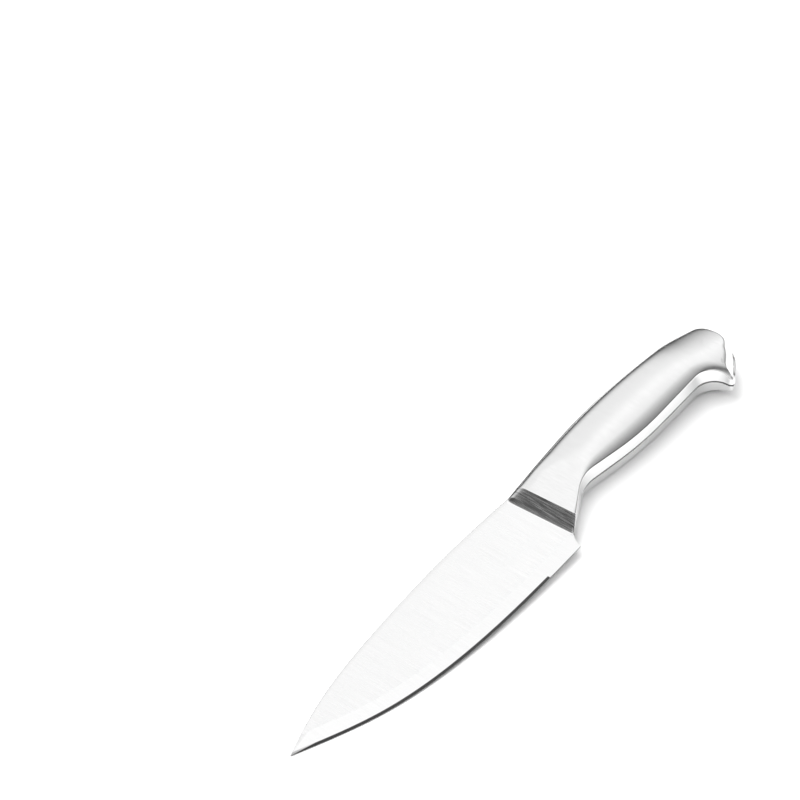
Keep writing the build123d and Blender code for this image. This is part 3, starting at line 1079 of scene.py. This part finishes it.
CAMERA_PLACE = (-638.7, -437.7, 905.0)
CAMERA_AIM = (18.4, 106.3, 1.9)
CAMERA_RIGHT = (0.6188, -0.7850, -0.0227)
LENS = 133.79
SENSOR = 36.0
CLIP_END = 50.0

# How the studio's brightness changes with a part of the direction: from, to, and the brightness at each.
# The wall behind the knife fades to the right and brightens beyond the glow, and fades to the left and
# towards the horizon. The lobe lights the butt's facet, low down on the finger side.
RIGHT_FADE = (-0.56, 0.33, 0.2, 1.0)
GLOW = (0.34, 0.46, 1.2, 1.0)
LEFT_FADE = (-0.03, 0.33, 0.15, 1.0)
LEFT_WAY = (0.95, 0.31)
HORIZON_FADE = (0.1, 0.58, 0.05, 1.02)
FRONT_WAY = (-0.63, -0.5, 0.6)
FRONT_FADE = (0.62, 0.95, 0.0, 0.8)
LOBE = (0.86, 0.93, 0.0, 1.0)
LOBE_TOP = (0.12, 0.24, 1.0, 0.0)
LOBE_SIDE = (-0.1, 0.05, 1.0, 0.0)
# The dark card on the floor, and where it is gone and whole at each end, as shares of its length
CARD_LIFT = 0.0006
CARD_GREY = 0.03
CARD_CORNERS = ((-30, 42.5), (125, 42.5), (125, 290), (-30, 290))
CARD_FADES = ((0.1, 0.45), (0.98, 0.6))


def sheet(name, paper, corners, roughness):
    """A flat sheet of paper. Gives the object and its material's nodes."""
    mesh = bpy.data.meshes.new(name)
    mesh.from_pydata(corners, [], [(0, 1, 2, 3)])
    made = bpy.data.objects.new(name, mesh)
    bpy.context.scene.collection.objects.link(made)
    material = bpy.data.materials.new(paper)
    material.use_nodes = True
    material.node_tree.nodes["Principled BSDF"].inputs["Roughness"].default_value = roughness
    mesh.materials.append(material)
    return made, material.node_tree


def floor():
    """A wide, plain pale floor."""
    corners = [(x * FLOOR_REACH, y * FLOOR_REACH, 0) for x, y in ((-1, -1), (1, -1), (1, 1), (-1, 1))]
    made, tree = sheet("floor", "floor_paper", corners, FLOOR_ROUGHNESS)
    shader = tree.nodes["Principled BSDF"]
    shader.inputs["Specular IOR Level"].default_value = 0.0
    cloud = node(tree, "ShaderNodeTexNoise", Scale=FLOOR_CLOUDS)
    tree.links.new(tinted(tree, cloud.outputs["Fac"], *FLOOR_GREYS), shader.inputs["Base Color"])


def camera():
    """The camera, at the photograph's angle, placed in the knife's own measures."""
    eye = KNIFE @ (Vector(CAMERA_PLACE) * MM)
    aim = KNIFE @ (Vector(CAMERA_AIM) * MM)
    looking = (aim - eye).normalized()
    right = turn @ Vector(CAMERA_RIGHT)
    right = (right - looking * right.dot(looking)).normalized()
    up = right.cross(looking)
    data = bpy.data.cameras.new("camera")
    data.lens = LENS
    data.sensor_width = SENSOR
    data.clip_end = CLIP_END
    made = bpy.data.objects.new("camera", data)
    made.matrix_world = Matrix.Translation(eye) @ Matrix((right, up, -looking)).transposed().to_4x4()
    bpy.context.scene.collection.objects.link(made)
    bpy.context.scene.camera = made


def plan_way(azimuth):
    """A level direction, in degrees clockwise from the way the camera looks."""
    ahead = turn @ Vector((CAMERA_AIM[0] - CAMERA_PLACE[0], CAMERA_AIM[1] - CAMERA_PLACE[1], 0)).normalized()
    a = math.radians(azimuth)
    return ahead * math.cos(a) + ahead.cross(outwards) * math.sin(a)


def softbox(name, azimuth, elevation, distance, size, brightness):
    """A soft light panel that faces the knife and isn't seen in it."""
    e = math.radians(elevation)
    way = plan_way(azimuth) * math.cos(e) + outwards * math.sin(e)
    across = plan_way(azimuth + 90)
    data = bpy.data.lights.new(name, "AREA")
    data.shape = "RECTANGLE"
    data.size = data.size_y = size
    data.energy = brightness * math.pi * size * size
    lamp = bpy.data.objects.new(name, data)
    facing = Matrix((across, way.cross(across), way)).transposed().to_4x4()
    lamp.matrix_world = Matrix.Translation(way * distance) @ facing
    lamp.visible_glossy = False
    bpy.context.scene.collection.objects.link(lamp)


def spine_card():
    """A dark card on the floor behind the handle, which only the steel's reflections see: it draws the
    dark line along the back. Its ends fade away along the world's X."""
    placed = [KNIFE @ Vector((along * MM, across * MM, 0)) for along, across in CARD_CORNERS]
    made, tree = sheet("spine_card", "black_card", [(p.x, p.y, CARD_LIFT) for p in placed], 1.0)
    shader = tree.nodes["Principled BSDF"]
    shader.inputs["Base Color"].default_value = grey_colour(CARD_GREY)
    place = node(tree, "ShaderNodeTexCoord")
    split = node(tree, "ShaderNodeSeparateXYZ")
    tree.links.new(place.outputs["Generated"], split.inputs[0])
    both = node(tree, "ShaderNodeMath", operation="MULTIPLY")
    for k, (gone, whole) in enumerate(CARD_FADES):
        share = ranged(tree, split.outputs["X"], gone, whole, 0, 1, interpolation_type="SMOOTHSTEP")
        tree.links.new(share, both.inputs[k])
    tree.links.new(both.outputs[0], shader.inputs["Alpha"])
    made.visible_camera = False
    made.visible_diffuse = False
    made.visible_shadow = False
    made.visible_transmission = False


def world():
    """The studio around the knife, by direction in the knife's own axes: a wide bright wall behind it
    that fades towards its ends and the horizon, a dimmer one in front, and a lobe beyond the butt."""
    studio = bpy.data.worlds.new("studio")
    bpy.context.scene.world = studio
    studio.use_nodes = True
    tree = studio.node_tree
    way = node(tree, "ShaderNodeTexCoord").outputs["Generated"]

    def facing(direction):
        dot = node(tree, "ShaderNodeVectorMath", operation="DOT_PRODUCT")
        tree.links.new(way, dot.inputs[0])
        dot.inputs[1].default_value = direction
        return dot.outputs["Value"]

    def fade(value, bounds):
        return ranged(tree, value, *bounds, interpolation_type="SMOOTHSTEP")

    def combine(operation, first, *others):
        for other in others:
            made = node(tree, "ShaderNodeMath", operation=operation)
            tree.links.new(first, made.inputs[0])
            tree.links.new(other, made.inputs[1])
            first = made.outputs[0]
        return first

    y, z = facing(crosswise), facing(outwards)
    to_right = ranged(tree, y, *RIGHT_FADE)
    leftwards = (lengthwise * LEFT_WAY[0] + crosswise * LEFT_WAY[1]).normalized()
    to_left = fade(facing(leftwards), LEFT_FADE)
    back = combine("MULTIPLY", to_right, to_left, fade(z, HORIZON_FADE), fade(y, GLOW))
    front = fade(facing((turn @ Vector(FRONT_WAY)).normalized()), FRONT_FADE)
    along = facing(lengthwise)
    lobe = combine("MULTIPLY", fade(along, LOBE), fade(z, LOBE_TOP), fade(y, LOBE_SIDE))
    background = tree.nodes["Background"]
    background.inputs["Color"].default_value = grey_colour(1)
    tree.links.new(combine("ADD", back, front, lobe), background.inputs["Strength"])


floor()
camera()
world()
softbox("key", azimuth=-50, elevation=58, distance=1.8, size=1.6, brightness=3.0)
softbox("overhead", azimuth=0, elevation=88, distance=2.0, size=3.4, brightness=1.0)
spine_card()

scene = bpy.context.scene
scene.view_settings.view_transform = "Standard"
scene.view_settings.look = "None"
